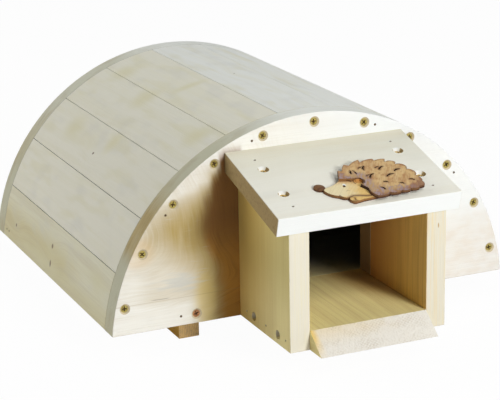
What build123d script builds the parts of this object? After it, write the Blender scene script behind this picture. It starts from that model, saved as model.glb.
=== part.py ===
from build123d import *

# A hedgehog house: a barrel-roofed timber chamber on two runners, with a square entrance porch in front.
# Millimetres. X runs across, Y from the porch (front, -Y) to the back, Z up. The origin lies on the
# ground, under the middle of the house's length and width.

import os
from math import asin, cos, degrees, radians, sin, sqrt, tan

# Sizes of the house
house_width = 420.0
house_length = 370.0
arch_height = 190.0
panel_thickness = 21.0
runner_height = 22.0
runner_width = 21.0
runner_inset = 85.0
edge_break = 0.4

# Roof
slat_count = 11
slat_thickness = 18.0
slat_joint_gap = 0.4

# Floor of the chamber
floor_thickness = 18.5
floor_board_names = ("front", "middle", "back")
floor_joint_gap = 0.5
floor_side_clearance = 0.3

# Porch
porch_width = 160.0
porch_projection = 110.0
wall_thickness = 20.0
wall_front_height = 113.0
lid_slope = 15.5
lid_thickness = 18.5
lid_side_overhang = 13.0
lid_front_overhang = 1.5
ramp_run = 23.0
doorway_height = 120.0

# Countersunk screws
shank_radius = 1.75
head_radius = 3.6
head_rim = 0.3
screw_tip_radius = 0.4
screw_tip_length = 4.0
screw_length = 40.0
runner_screw_length = 34.0
recess_span = 4.6
recess_width = 1.2
recess_depth = 1.7
recess_turn = 37.0
fastener_clearance = 0.1

# How deep the screw heads sit, and the mouths of their countersinks
arch_sink = 1.3
arch_mouth_radius = 5.2
lid_sink = 3.2
lid_mouth_radius = 5.3
wall_sink = 4.2
wall_mouth_radius = 4.4
runner_sink = 3.0
runner_mouth_radius = 4.4

# Places of the screws
wall_screw_count = 2
wall_screw_front_setback = 26.0
wall_screw_back_setback = 31.5
lid_screw_count = 2
lid_screw_back_setback = 37.5
lid_screw_front_setback = 38.8
fixing_screw_count = 2
fixing_screw_low_setback = 42.0
fixing_screw_high_setback = 41.5
runner_screw_setback_share = 0.26

# Brads
brad_radius = 0.6
brad_head_radius = 1.1
brad_head_height = 0.7
brad_tip_length = 2.0
brad_length = 30.0
brad_sink = 0.4
brad_offset = 12.0
floor_brad_offset = 16.0
lid_brad_count = 2
lid_brad_back_setback = 20.0
lid_brad_front_setback = 16.8
lid_brad_side_shift = 1.0
wall_brad_count = 3
wall_brad_front_setback = 9.3
wall_brad_back_setback = 15.3
foot_brad_count = 2
foot_brad_height = 8.5
foot_brad_setback = 31.0
foot_brad_spacing = 8.0
bradded_slats = (2, 4, 6, 8)

# The figure on the lid, in a light layer with a darker one on it
figure_length = 107.0
figure_left = 45.0
figure_setback = 118.0
body_thickness = 3.0
coat_thickness = 3.0
nose_radius = 5.4
nose_side_height = 1.9
nose_dome_height = 1.1
nose_clearance = 0.3
eye_radius = 0.9
eye_depth = 0.6
slit_width = 1.6
fine_slit_width = 0.8

# What the cutters reach past the faces that they cut
overrun = 5.0

# The figure's outlines, in shares of its length, from its lower left corner
nose_share = (0.090, 0.321)
eye_share = (0.292, 0.266)
body_shares = {
    "nostril": (0.125, 0.285),
    "bridge": (0.207, 0.308),
    "brow": (0.296, 0.371),
    "nape": (0.383, 0.449),
    "back": (0.700, 0.510),
    "rump": (0.860, 0.300),
    "seat": (0.654, 0.084),
    "sole": (0.510, 0.055),
    "wrist": (0.380, 0.042),
    "toes": (0.294, 0.023),
    "palm": (0.256, 0.064),
    "elbow": (0.270, 0.100),
    "throat": (0.225, 0.105),
    "mouth": (0.190, 0.140),
    "chin": (0.120, 0.195),
    "lip": (0.098, 0.256),
}

# The coat's rim, clockwise: each upper tuft's foot, belly and tip, then each lower tuft's tip, belly and foot
first_spike_share = (0.336, 0.483)
upper_tuft_shares = (
    ((0.367, 0.461), (0.400, 0.522), (0.432, 0.559)),
    ((0.471, 0.535), (0.542, 0.587), (0.596, 0.605)),
    ((0.590, 0.560), (0.650, 0.587), (0.725, 0.589)),
    ((0.726, 0.558), (0.778, 0.570), (0.832, 0.561)),
    ((0.810, 0.514), (0.870, 0.521), (0.901, 0.488)),
    ((0.882, 0.458), (0.945, 0.438), (0.956, 0.380)),
    ((0.941, 0.360), (0.984, 0.322), (0.987, 0.264)),
    ((0.971, 0.242), (0.988, 0.208), (0.989, 0.157)),
    ((0.971, 0.150), (0.981, 0.119), (0.966, 0.076)),
)
tail_notch_share = (0.912, 0.069)
lower_tuft_shares = (
    ((0.904, 0.052), (0.862, 0.046), (0.821, 0.059)),
    ((0.812, 0.041), (0.767, 0.034), (0.729, 0.049)),
    ((0.719, 0.033), (0.657, 0.025), (0.612, 0.045)),
    ((0.601, 0.028), (0.547, 0.014), (0.493, 0.020)),
)
face_edge_shares = {
    "cheek_bend": (0.463, 0.086),
    "cheek": (0.469, 0.150),
    "jowl": (0.451, 0.191),
    "ear_low": (0.430, 0.225),
    "ear_side": (0.478, 0.270),
    "ear_top": (0.465, 0.322),
    "brow_dip": (0.380, 0.333),
    "forehead": (0.287, 0.353),
}

# The slits in the coat, each one's tip, belly and foot
slit_shares = (
    ((0.443, 0.460), (0.434, 0.430), (0.423, 0.394)),
    ((0.601, 0.496), (0.574, 0.473), (0.566, 0.426)),
    ((0.763, 0.452), (0.725, 0.437), (0.694, 0.393)),
    ((0.625, 0.359), (0.583, 0.339), (0.557, 0.287)),
    ((0.889, 0.370), (0.860, 0.375), (0.818, 0.346)),
    ((0.800, 0.313), (0.762, 0.314), (0.705, 0.277)),
    ((0.679, 0.193), (0.660, 0.213), (0.638, 0.211)),
    ((0.923, 0.168), (0.904, 0.192), (0.878, 0.195)),
    ((0.803, 0.136), (0.789, 0.157), (0.767, 0.160)),
    ((0.596, 0.091), (0.592, 0.127), (0.573, 0.141)),
)
fine_slit_shares = (
    ((0.462, 0.454), (0.472, 0.428), (0.468, 0.382)),
    ((0.577, 0.486), (0.554, 0.484), (0.521, 0.459)),
    ((0.723, 0.455), (0.698, 0.453), (0.670, 0.437)),
    ((0.583, 0.351), (0.560, 0.347), (0.531, 0.326)),
)

# Places worked out from the sizes
overall_length = house_length + porch_projection + ramp_run
front_y = porch_projection + ramp_run - overall_length / 2
back_y = front_y + house_length
porch_front_y = front_y - porch_projection
base_z = runner_height
floor_z = base_z + floor_thickness
inner_front_y = front_y + panel_thickness
inner_back_y = back_y - panel_thickness
inner_length = inner_back_y - inner_front_y
arch_radius = ((house_width / 2) ** 2 + arch_height**2) / (2 * arch_height)
arch_z = base_z + arch_height - arch_radius
slat_inner_radius = arch_radius - slat_thickness
base_heading = degrees(asin((base_z - arch_z) / arch_radius))
slat_heading = (180 - 2 * base_heading) / slat_count
screw_circle_radius = arch_radius - slat_thickness / 2
runner_x = house_width / 2 - runner_inset
wall_x = (porch_width - wall_thickness) / 2
inner_porch_width = porch_width - 2 * wall_thickness
slope = radians(lid_slope)
lid_under_front_z = base_z + wall_front_height
lid_under_back_z = lid_under_front_z + porch_projection * tan(slope)
lid_top_back_z = lid_under_back_z + lid_thickness / cos(slope)
lid_width = porch_width + 2 * lid_side_overhang
lid_run = (porch_projection + lid_front_overhang + lid_thickness * sin(slope)) / cos(slope)
lid_top = Plane(origin=(0, front_y, lid_top_back_z), x_dir=(1, 0, 0), z_dir=(0, -sin(slope), cos(slope)))
head_taper = head_radius - shank_radius
floor_board_count = len(floor_board_names)
floor_board_width = (inner_length - (floor_board_count - 1) * floor_joint_gap) / floor_board_count


def heading_of(slat):
    """Angle of a slat's middle, counted over the arch from the left at the arch's axis."""
    return base_heading + (slat + 1 / 2) * slat_heading


def on_arch(radius, heading):
    """The point at a radius from the arch's axis, as X and Z."""
    turn = radians(heading)
    return -radius * cos(turn), arch_z + radius * sin(turn)


def spread(count, first, last):
    """Evenly spaced places from the first to the last."""
    return [first + (last - first) * place / (count - 1) for place in range(count)]


def facing(place, outward, turn=0.0):
    """A seat on a surface: Z points out of it."""
    return Plane(origin=place, z_dir=outward).location * Rot(0, 0, turn)


def turned(points):
    """The solid that a profile of radius and height makes round the Z axis."""
    return revolve(Plane.XZ * make_face(Polyline(*points, close=True)), axis=Axis.Z)


def side_board(points, width):
    """A board whose side view is the outline, in Y and Z, centred across X."""
    outline = make_face(Polyline(*points, close=True))
    return extrude(Plane.YZ * outline, amount=width / 2, both=True)


def eased(board):
    """A board with its sharp edges taken off."""
    return chamfer(board.edges(), edge_break)


# Fasteners


def screw(length):
    """A countersunk screw with a cross recess, its head's top at the origin, pointing down."""
    body = turned(
        [
            (0, 0),
            (head_radius, 0),
            (head_radius, -head_rim),
            (shank_radius, -head_rim - head_taper),
            (shank_radius, screw_tip_length - length),
            (screw_tip_radius, -length),
            (0, -length),
        ]
    )
    bar = Box(recess_span, recess_width, recess_depth, align=(Align.CENTER, Align.CENTER, Align.MAX))
    return body - bar - Rot(0, 0, 90) * bar


def screw_hole(length, sink, mouth_radius):
    """What a screw's hole removes, from the board's surface down."""
    head = head_radius + fastener_clearance
    shank = shank_radius + fastener_clearance
    taper_end = -sink - head_rim - head_taper
    return turned(
        [
            (0, overrun),
            (mouth_radius, overrun),
            (mouth_radius, 0),
            (head, -sink),
            (head, -sink - head_rim),
            (shank, taper_end),
            (shank, -sink - length + screw_tip_length),
            (screw_tip_radius + fastener_clearance, -sink - length - fastener_clearance),
            (0, -sink - length - fastener_clearance),
        ]
    )


def brad():
    """A thin nail, its head's top at the origin, pointing down."""
    return turned(
        [
            (0, 0),
            (brad_head_radius, 0),
            (brad_head_radius, -brad_head_height),
            (brad_radius, -brad_head_height),
            (brad_radius, brad_tip_length - brad_length),
            (0, -brad_length),
        ]
    )


def brad_hole():
    """What a brad's hole removes, from the board's surface down."""
    head = brad_head_radius + fastener_clearance
    shank = brad_radius + fastener_clearance
    depth = brad_sink + brad_length + fastener_clearance
    return turned(
        [
            (0, overrun),
            (head, overrun),
            (head, -brad_sink - brad_head_height - fastener_clearance),
            (shank, -brad_sink - brad_head_height - fastener_clearance),
            (shank, -depth),
            (0, -depth),
        ]
    )


def panel_seats(face_y, outward):
    """Seats of the screws that go through a panel into the slats' ends."""
    seats = []
    for slat in range(slat_count):
        x, z = on_arch(screw_circle_radius, heading_of(slat))
        seats.append(facing((x, face_y, z), (0, outward, 0), slat * recess_turn))
    return seats


def panel_floor_seats(face_y, outward):
    """Seats of the screws that go through a panel into the floor's edge."""
    z = base_z + floor_thickness / 2
    return [facing((x, face_y, z), (0, outward, 0), recess_turn / 2) for x in (-runner_x, runner_x)]


def panel_brad_seats(face_y, outward):
    """Seats of the brads in a panel, beside the screws of some slats and of the floor."""
    seats = []
    swing = degrees(brad_offset / screw_circle_radius)
    for slat in bradded_slats:
        side = 1 if slat > slat_count / 2 else -1
        x, z = on_arch(screw_circle_radius, heading_of(slat) + side * swing)
        seats.append(facing((x, face_y, z), (0, outward, 0)))
    for side in (-1, 1):
        x = side * (runner_x + floor_brad_offset)
        seats.append(facing((x, face_y, base_z + floor_thickness / 2), (0, outward, 0)))
    return seats


def foot_brad_seats():
    """Seats of the brads through the lowest slats into the floor's edges."""
    z = base_z + foot_brad_height
    x = sqrt(arch_radius**2 - (z - arch_z) ** 2)
    seats = []
    for side in (-1, 1):
        for place in range(foot_brad_count):
            y = back_y - foot_brad_setback - place * foot_brad_spacing
            seats.append(facing((side * x, y, z), (side, 0, 0)))
    return seats


def wall_screw_seats(side):
    """Seats of the screws through one porch wall into the porch floor's edge."""
    z = base_z + floor_thickness / 2
    along = spread(
        wall_screw_count,
        porch_front_y + wall_screw_front_setback,
        front_y - wall_screw_back_setback,
    )
    return [facing((side * porch_width / 2, y, z), (side, 0, 0), y) for y in along]


def wall_brad_seats(side):
    """Seats of the brads through one porch wall into the porch floor's edge."""
    z = base_z + floor_thickness / 2
    along = spread(
        wall_brad_count,
        porch_front_y + wall_brad_front_setback,
        front_y - wall_brad_back_setback,
    )
    return [facing((side * porch_width / 2, y, z), (side, 0, 0)) for y in along]


def lid_screw_seats(side):
    """Seats of the screws through the lid into the top of one wall."""
    down = spread(lid_screw_count, lid_screw_back_setback, lid_run - lid_screw_front_setback)
    return [lid_top.location * Pos(side * wall_x, -run, 0) * Rot(0, 0, run) for run in down]


def lid_brad_seats(side):
    """Seats of the brads through the lid into the top of one wall."""
    down = spread(lid_brad_count, lid_brad_back_setback, lid_run - lid_brad_front_setback)
    x = side * (wall_x + lid_brad_side_shift)
    return [lid_top.location * Pos(x, -run, 0) for run in down]


def fixing_screw_seats(side):
    """Seats of the screws from inside the chamber through the front panel into one porch wall."""
    heights = spread(
        fixing_screw_count,
        base_z + fixing_screw_low_setback,
        lid_under_back_z - fixing_screw_high_setback,
    )
    return [facing((side * wall_x, inner_front_y, z), (0, 1, 0), recess_turn) for z in heights]


def floor_board_start(board):
    """The Y where a floor board begins."""
    return inner_front_y + board * (floor_board_width + floor_joint_gap)


def runner_screw_seats(board):
    """Seats of the screws up through both runners into one floor board."""
    setback = floor_board_width * runner_screw_setback_share
    start = floor_board_start(board)
    seats = []
    for side in (-1, 1):
        for y in (start + setback, start + floor_board_width - setback):
            seats.append(facing((side * runner_x, y, 0), (0, 0, -1), y))
    return seats


plain_screw = screw(screw_length)
arch_hole = screw_hole(screw_length, arch_sink, arch_mouth_radius)
lid_hole = screw_hole(screw_length, lid_sink, lid_mouth_radius)
wall_hole = screw_hole(screw_length, wall_sink, wall_mouth_radius)
runner_screw = screw(runner_screw_length)
runner_hole = screw_hole(runner_screw_length, runner_sink, runner_mouth_radius)
plain_brad = brad()
plain_brad_hole = brad_hole()

front_seats = panel_seats(front_y, -1)
back_seats = panel_seats(back_y, 1)
front_floor_seats = panel_floor_seats(front_y, -1)
back_floor_seats = panel_floor_seats(back_y, 1)
front_brad_seats = panel_brad_seats(front_y, -1)
back_brad_seats = panel_brad_seats(back_y, 1)
both_fixing_seats = fixing_screw_seats(-1) + fixing_screw_seats(1)


def drilled(board, *holes):
    """A board less its holes, each given as a cutter and its seats."""
    for cutter, seats in holes:
        for seat in seats:
            board = board - seat * cutter
    return board


def group(solid, seats, sink):
    """Copies of one fastener, each sunk below its seat."""
    return Compound(children=[seat * Pos(0, 0, -sink) * solid for seat in seats])


# Boards

on_floor = (Align.CENTER, Align.MIN, Align.MIN)


def arch_panel(start_y):
    """A panel with the arch's outline."""
    disc = Pos(0, arch_z) * Circle(arch_radius)
    above_base = Pos(0, base_z) * Rectangle(
        2 * arch_radius, 2 * arch_radius, align=(Align.CENTER, Align.MIN)
    )
    outline = Plane.XZ * (disc & above_base)
    return Pos(0, start_y, 0) * eased(extrude(outline, amount=-panel_thickness))


def front_panel():
    """The front panel, with the doorway open at its foot for the porch floor."""
    door = Pos(0, front_y - overrun, base_z - overrun) * Box(
        inner_porch_width, panel_thickness + 2 * overrun, doorway_height + overrun, align=on_floor
    )
    return drilled(
        arch_panel(front_y) - door,
        (arch_hole, front_seats),
        (arch_hole, front_floor_seats),
        (arch_hole, both_fixing_seats),
        (plain_brad_hole, front_brad_seats),
    )


def back_panel():
    """The closed back panel."""
    return drilled(
        arch_panel(inner_back_y),
        (arch_hole, back_seats),
        (arch_hole, back_floor_seats),
        (plain_brad_hole, back_brad_seats),
    )


def slat_blank():
    """A roof board at the arch's crown: flat below, its sides towards the arch's axis, round on top."""
    half = radians(slat_heading / 2)
    side_shift = slat_joint_gap / 2 / cos(half)
    over_radius = arch_radius + overrun
    bottom = slat_inner_radius * tan(half) - side_shift
    top = over_radius * tan(half) - side_shift
    wedge = make_face(
        Polyline(
            (-bottom, slat_inner_radius),
            (bottom, slat_inner_radius),
            (top, over_radius),
            (-top, over_radius),
            close=True,
        )
    )
    return eased(extrude(Plane.XZ * (wedge & Circle(arch_radius)), amount=-inner_length))


def roof_slat(slat, blank):
    """One roof board, drilled for what holds it."""
    above_base = Pos(0, inner_front_y, base_z) * Box(
        2 * house_width, inner_length, arch_height + overrun, align=on_floor
    )
    board = Pos(0, inner_front_y, arch_z) * Rot(0, heading_of(slat) - 90, 0) * blank
    holes = [(arch_hole, [front_seats[slat], back_seats[slat]])]
    if slat in bradded_slats:
        place = bradded_slats.index(slat)
        holes.append((plain_brad_hole, [front_brad_seats[place], back_brad_seats[place]]))
    if slat in (0, slat_count - 1):
        side = 1 if slat else -1
        near = [seat for seat in foot_brad_seats() if seat.position.X * side > 0]
        holes.append((plain_brad_hole, near))
    return drilled(board & above_base, *holes)


def floor_board(board):
    """One board of the chamber's floor, between the lowest slats, on the runners."""
    first = radians(heading_of(0))
    height = floor_z - arch_z
    half_width = (slat_inner_radius - height * sin(first)) / cos(first) - floor_side_clearance
    blank = Pos(0, floor_board_start(board), base_z) * eased(
        Box(2 * half_width, floor_board_width, floor_thickness, align=on_floor)
    )
    holes = [(runner_hole, runner_screw_seats(board))]
    if board == 0:
        holes.append((arch_hole, front_floor_seats))
        holes.append((plain_brad_hole, front_brad_seats))
    if board == floor_board_count - 1:
        holes.append((arch_hole, back_floor_seats))
        holes.append((plain_brad_hole, back_brad_seats + foot_brad_seats()))
    return drilled(blank, *holes)


def runner(side):
    """A square bearer under the floor, between the panels."""
    blank = Pos(side * runner_x, inner_front_y, 0) * eased(
        Box(runner_width, inner_length, runner_height, align=on_floor)
    )
    seats = []
    for board in range(floor_board_count):
        seats += [seat for seat in runner_screw_seats(board) if seat.position.X * side > 0]
    return drilled(blank, (runner_hole, seats))


# Porch


def porch_wall(side):
    """One upright wall, its top cut to the lid's slope."""
    board = side_board(
        [
            (front_y, base_z),
            (porch_front_y, base_z),
            (porch_front_y, lid_under_front_z),
            (front_y, lid_under_back_z),
        ],
        wall_thickness,
    )
    return drilled(
        Pos(side * wall_x, 0, 0) * eased(board),
        (wall_hole, wall_screw_seats(side)),
        (lid_hole, lid_screw_seats(side)),
        (arch_hole, fixing_screw_seats(side)),
        (plain_brad_hole, wall_brad_seats(side) + lid_brad_seats(side)),
    )


def porch_floor():
    """The porch's floor, from the chamber's first board to the ramp in front."""
    back = inner_front_y - floor_joint_gap
    board = side_board(
        [
            (back, base_z),
            (porch_front_y - ramp_run, base_z),
            (porch_front_y, floor_z),
            (back, floor_z),
        ],
        inner_porch_width,
    )
    return drilled(
        board,
        (wall_hole, wall_screw_seats(-1) + wall_screw_seats(1)),
        (plain_brad_hole, wall_brad_seats(-1) + wall_brad_seats(1)),
    )


def porch_lid():
    """The sloping lid, square-cut in front and cut upright where it meets the panel."""
    front_under_y = porch_front_y - lid_front_overhang
    front_under_z = lid_under_front_z - lid_front_overhang * tan(slope)
    board = side_board(
        [
            (front_y, lid_under_back_z),
            (front_under_y, front_under_z),
            (front_under_y - lid_thickness * sin(slope), front_under_z + lid_thickness * cos(slope)),
            (front_y, lid_top_back_z),
        ],
        lid_width,
    )
    return drilled(
        eased(board),
        (lid_hole, lid_screw_seats(-1) + lid_screw_seats(1)),
        (plain_brad_hole, lid_brad_seats(-1) + lid_brad_seats(1)),
    )


# Figure


def spot(share):
    """A place on the figure, in millimetres on the lid."""
    return Vector(
        share[0] * figure_length - figure_left,
        share[1] * figure_length - figure_setback,
    )


def figure_body():
    """The light layer: head, paw and the part under the coat."""
    at = {name: spot(share) for name, share in body_shares.items()}
    outline = [
        ThreePointArc(at["nostril"], at["bridge"], at["brow"]),
        ThreePointArc(at["brow"], at["nape"], at["back"]),
        ThreePointArc(at["back"], at["rump"], at["seat"]),
        ThreePointArc(at["seat"], at["sole"], at["wrist"]),
        Line(at["wrist"], at["toes"]),
        ThreePointArc(at["toes"], at["palm"], at["elbow"]),
        ThreePointArc(at["elbow"], at["throat"], at["mouth"]),
        ThreePointArc(at["mouth"], at["chin"], at["lip"]),
        Line(at["lip"], at["nostril"]),
    ]
    layer = extrude(make_face(outline), amount=body_thickness)
    nose_room = Cylinder(nose_radius + nose_clearance, 2 * body_thickness + overrun)
    nose_place = spot(nose_share)
    eye_place = spot(eye_share)
    eye = Cylinder(eye_radius, 2 * eye_depth)
    layer = layer - Pos(nose_place.X, nose_place.Y, 0) * nose_room
    layer = layer - Pos(eye_place.X, eye_place.Y, body_thickness) * eye
    return lid_top.location * layer


def coat_outline():
    """The coat's rim: tufts that point to the tail, and the edge that frames the face."""
    at = {name: spot(share) for name, share in face_edge_shares.items()}
    corner = spot(first_spike_share)
    lines = [Line(at["forehead"], corner)]
    for shares in upper_tuft_shares + ((tail_notch_share,),) + lower_tuft_shares:
        tuft = [spot(share) for share in shares]
        lines.append(Line(corner, tuft[0]))
        if len(tuft) > 1:
            lines.append(ThreePointArc(*tuft))
        corner = tuft[-1]
    return lines + [
        ThreePointArc(corner, at["cheek_bend"], at["cheek"]),
        ThreePointArc(at["cheek"], at["jowl"], at["ear_low"]),
        ThreePointArc(at["ear_low"], at["ear_side"], at["ear_top"]),
        ThreePointArc(at["ear_top"], at["brow_dip"], at["forehead"]),
    ]


def slit(shares, width):
    """A curved cutter through the coat, pointed at both ends."""
    tip, belly, foot = (spot(share) for share in shares)
    along = (foot - tip).normalized()
    aside = Vector(-along.Y, along.X) * width / 2
    sides = [ThreePointArc(tip, belly + aside, foot), ThreePointArc(foot, belly - aside, tip)]
    return Pos(0, 0, -overrun) * extrude(make_face(sides), amount=coat_thickness + 2 * overrun)


def figure_coat():
    """The darker layer: the spines, with short slits."""
    layer = extrude(make_face(coat_outline()), amount=coat_thickness)
    for every_share, width in ((slit_shares, slit_width), (fine_slit_shares, fine_slit_width)):
        for shares in every_share:
            layer = layer - slit(shares, width)
    return lid_top.location * Pos(0, 0, body_thickness) * layer


def figure_nose():
    """The round nose: a short peg with a domed top."""
    top = nose_side_height + nose_dome_height
    sphere_radius = (nose_radius**2 + nose_dome_height**2) / (2 * nose_dome_height)
    half_turn = asin(nose_radius / sphere_radius) / 2
    dome_middle = (sphere_radius * sin(half_turn), top - sphere_radius * (1 - cos(half_turn)))
    outline = [
        Line((0, 0), (nose_radius, 0)),
        Line((nose_radius, 0), (nose_radius, nose_side_height)),
        ThreePointArc((nose_radius, nose_side_height), dome_middle, (0, top)),
        Line((0, top), (0, 0)),
    ]
    nose = revolve(Plane.XZ * make_face(outline), axis=Axis.Z)
    place = spot(nose_share)
    return lid_top.location * Pos(place.X, place.Y, 0) * nose


# Assembly


def sub_parts():
    """Every sub-part by its node's name."""
    parts = {"front_panel": front_panel(), "back_panel": back_panel()}
    blank = slat_blank()
    for slat in range(slat_count):
        parts[f"roof_slat_{slat + 1:02d}"] = roof_slat(slat, blank)
    for board, name in enumerate(floor_board_names):
        parts[f"chamber_floor_{name}"] = floor_board(board)
    for name, side in (("left", -1), ("right", 1)):
        parts[f"runner_{name}"] = runner(side)
        parts[f"porch_{name}_wall"] = porch_wall(side)
    parts["porch_floor"] = porch_floor()
    parts["porch_lid"] = porch_lid()
    parts["figure_body"] = figure_body()
    parts["figure_coat"] = figure_coat()
    parts["figure_nose"] = figure_nose()

    wall_seats = wall_screw_seats(-1) + wall_screw_seats(1)
    lid_seats = lid_screw_seats(-1) + lid_screw_seats(1)
    runner_seats = []
    for board in range(floor_board_count):
        runner_seats += runner_screw_seats(board)
    parts["front_arch_screws"] = group(plain_screw, front_seats, arch_sink)
    parts["back_arch_screws"] = group(plain_screw, back_seats, arch_sink)
    parts["front_floor_screws"] = group(plain_screw, front_floor_seats, arch_sink)
    parts["back_floor_screws"] = group(plain_screw, back_floor_seats, arch_sink)
    parts["porch_fixing_screws"] = group(plain_screw, both_fixing_seats, arch_sink)
    parts["porch_wall_screws"] = group(plain_screw, wall_seats, wall_sink)
    parts["lid_screws"] = group(plain_screw, lid_seats, lid_sink)
    parts["runner_screws"] = group(runner_screw, runner_seats, runner_sink)

    wall_brads = wall_brad_seats(-1) + wall_brad_seats(1)
    lid_brads = lid_brad_seats(-1) + lid_brad_seats(1)
    parts["front_brads"] = group(plain_brad, front_brad_seats, brad_sink)
    parts["back_brads"] = group(plain_brad, back_brad_seats, brad_sink)
    parts["slat_foot_brads"] = group(plain_brad, foot_brad_seats(), brad_sink)
    parts["porch_wall_brads"] = group(plain_brad, wall_brads, brad_sink)
    parts["lid_brads"] = group(plain_brad, lid_brads, brad_sink)
    return parts


os.makedirs("parts", exist_ok=True)
for name, shape in sub_parts().items():
    shape.label = name
    export_step(shape, f"parts/{name}.step")
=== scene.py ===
from math import asin, cos, degrees, pi, radians, sin

import bmesh
import bpy
from bpy.props import FloatProperty, FloatVectorProperty, PointerProperty
from mathutils import Matrix, Vector


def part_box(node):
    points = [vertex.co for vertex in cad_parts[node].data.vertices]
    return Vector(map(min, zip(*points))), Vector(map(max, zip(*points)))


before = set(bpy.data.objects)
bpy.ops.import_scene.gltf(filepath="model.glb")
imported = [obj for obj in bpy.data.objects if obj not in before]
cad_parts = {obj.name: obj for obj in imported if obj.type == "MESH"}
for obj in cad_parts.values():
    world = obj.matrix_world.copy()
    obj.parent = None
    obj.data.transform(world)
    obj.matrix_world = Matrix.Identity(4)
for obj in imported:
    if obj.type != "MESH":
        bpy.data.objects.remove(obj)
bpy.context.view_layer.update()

bl_info = {
    "name": "Hedgehog house",
    "version": (1, 0, 0),
    "blender": (4, 5, 0),
    "location": "3D View > Sidebar > Hedgehog house",
    "description": "Finishes a timber hedgehog house and sets up its studio",
    "category": "Object",
}

# The frame is in metres. Finishes count in millimetres, because grain is a few millimetres wide.
MM = 0.001

X = Vector((1, 0, 0))
Y = Vector((0, 1, 0))
Z = Vector((0, 0, 1))


def millimetres(node):
    """A node's lowest and highest corners in millimetres."""
    low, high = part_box(node)
    return low / MM, high / MM


# The arch, worked out from the front panel
panel_low, panel_high = millimetres("front_panel")
ARCH_HEIGHT = panel_high.z - panel_low.z
ARCH_RADIUS = ((panel_high.x - panel_low.x) ** 2 / 4 + ARCH_HEIGHT**2) / (2 * ARCH_HEIGHT)
ARCH_AXIS_Z = panel_high.z - ARCH_RADIUS
FRONT_Y = panel_low.y
INNER_FRONT_Y = panel_high.y
BASE_Z = panel_low.z

# The roof's boards, counted from the left foot. Each lies a few degrees further over the arch.
SLATS = sorted(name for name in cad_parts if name.startswith("roof_slat_"))
FIRST_HEADING = degrees(asin((BASE_Z - ARCH_AXIS_Z) / ARCH_RADIUS))
SLAT_TURN = (180 - 2 * FIRST_HEADING) / len(SLATS)

# The porch
PORCH_FRONT_Y = millimetres("porch_left_wall")[0].y
wall_low, wall_high = millimetres("porch_right_wall")
PORCH_INNER_X = wall_low.x
PORCH_SIDE_X = wall_high.x
LID_SLOPE = radians(15.5)
DOWN_LID = Vector((0, -cos(LID_SLOPE), -sin(LID_SLOPE)))
OUT_OF_LID = Vector((0, -sin(LID_SLOPE), cos(LID_SLOPE)))
lid_high = millimetres("porch_lid")[1]
LID_TOP = Vector((0, lid_high.y, lid_high.z))


def shade(red, green, blue):
    """A colour as a screen shows it, from 0 to 255, as the light values that a shader takes."""
    parts = [part / 255 for part in (red, green, blue)]
    return tuple(part / 12.92 if part < 0.04045 else ((part + 0.055) / 1.055) ** 2.4 for part in parts)


def tone(name, description, *parts):
    """A colour property."""
    return FloatVectorProperty(
        name=name, description=description, subtype="COLOR", size=3, min=0.0, max=1.0, default=shade(*parts)
    )


def length(name, description, default):
    """A length property."""
    return FloatProperty(name=name, description=description, unit="LENGTH", min=0.0, default=default)


def angle(name, description, default):
    """An angle property, with its default in degrees."""
    return FloatProperty(name=name, description=description, subtype="ANGLE", default=radians(default))


def amount(name, description, default):
    """A plain number property."""
    return FloatProperty(name=name, description=description, min=0.0, default=default)


def brightness(name, lamp, default):
    """A lamp's brightness property."""
    return amount(name, f"How bright {lamp} makes a white card that faces it", default)


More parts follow.
